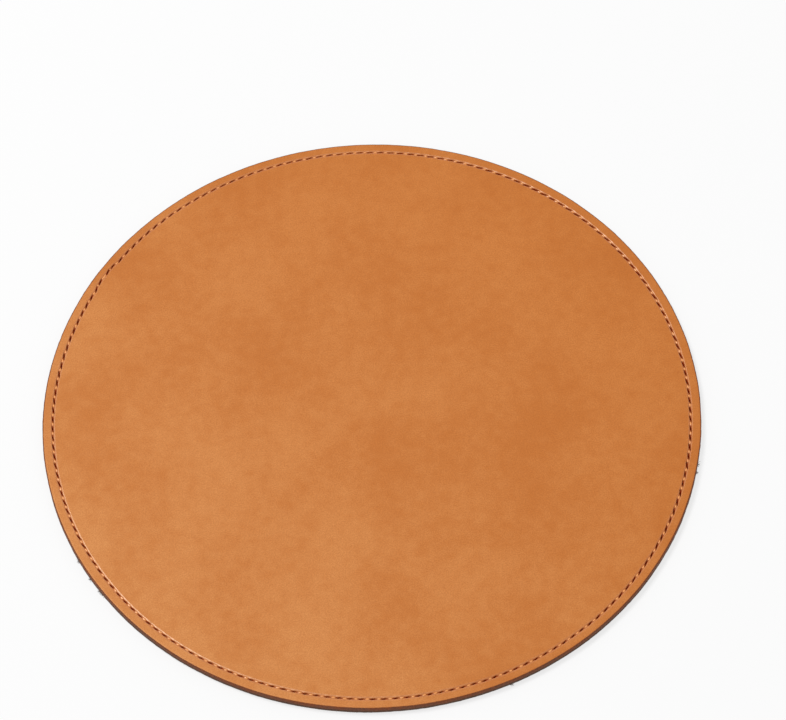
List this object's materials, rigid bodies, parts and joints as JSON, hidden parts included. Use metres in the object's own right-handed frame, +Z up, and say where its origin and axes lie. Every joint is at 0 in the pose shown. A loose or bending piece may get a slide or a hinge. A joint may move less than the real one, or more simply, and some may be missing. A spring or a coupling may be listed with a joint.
{
  "type": "mouse pad",
  "caption": "Round flat leather mouse pad: a tan leather face and a suede backing, cemented, sewn together near the rim and dressed dark on the cut edge.",
  "frame": {"origin": "middle of the underside, on the desk", "axes": "+Z up out of the working face, +Y away from the user, +X to the user's right"},
  "size_m": [0.2198, 0.22, 0.0032],
  "materials": {
    "face_leather": "tan leather with a fine waxy nap and a soft sheen",
    "cement": "dried contact cement, amber and rubbery",
    "suede": "grey-brown suede with a short matt nap",
    "thread": "waxed light tan sewing thread",
    "edge_dressing": "dark brown edge dressing, matt, thin over the fibres"
  },
  "bodies": {
    "root": {"face_leather": "face_leather", "cement_film": "cement", "backing_suede": "suede", "seam_thread": "thread", "edge_coat": "edge_dressing"}
  },
  "joints": []
}
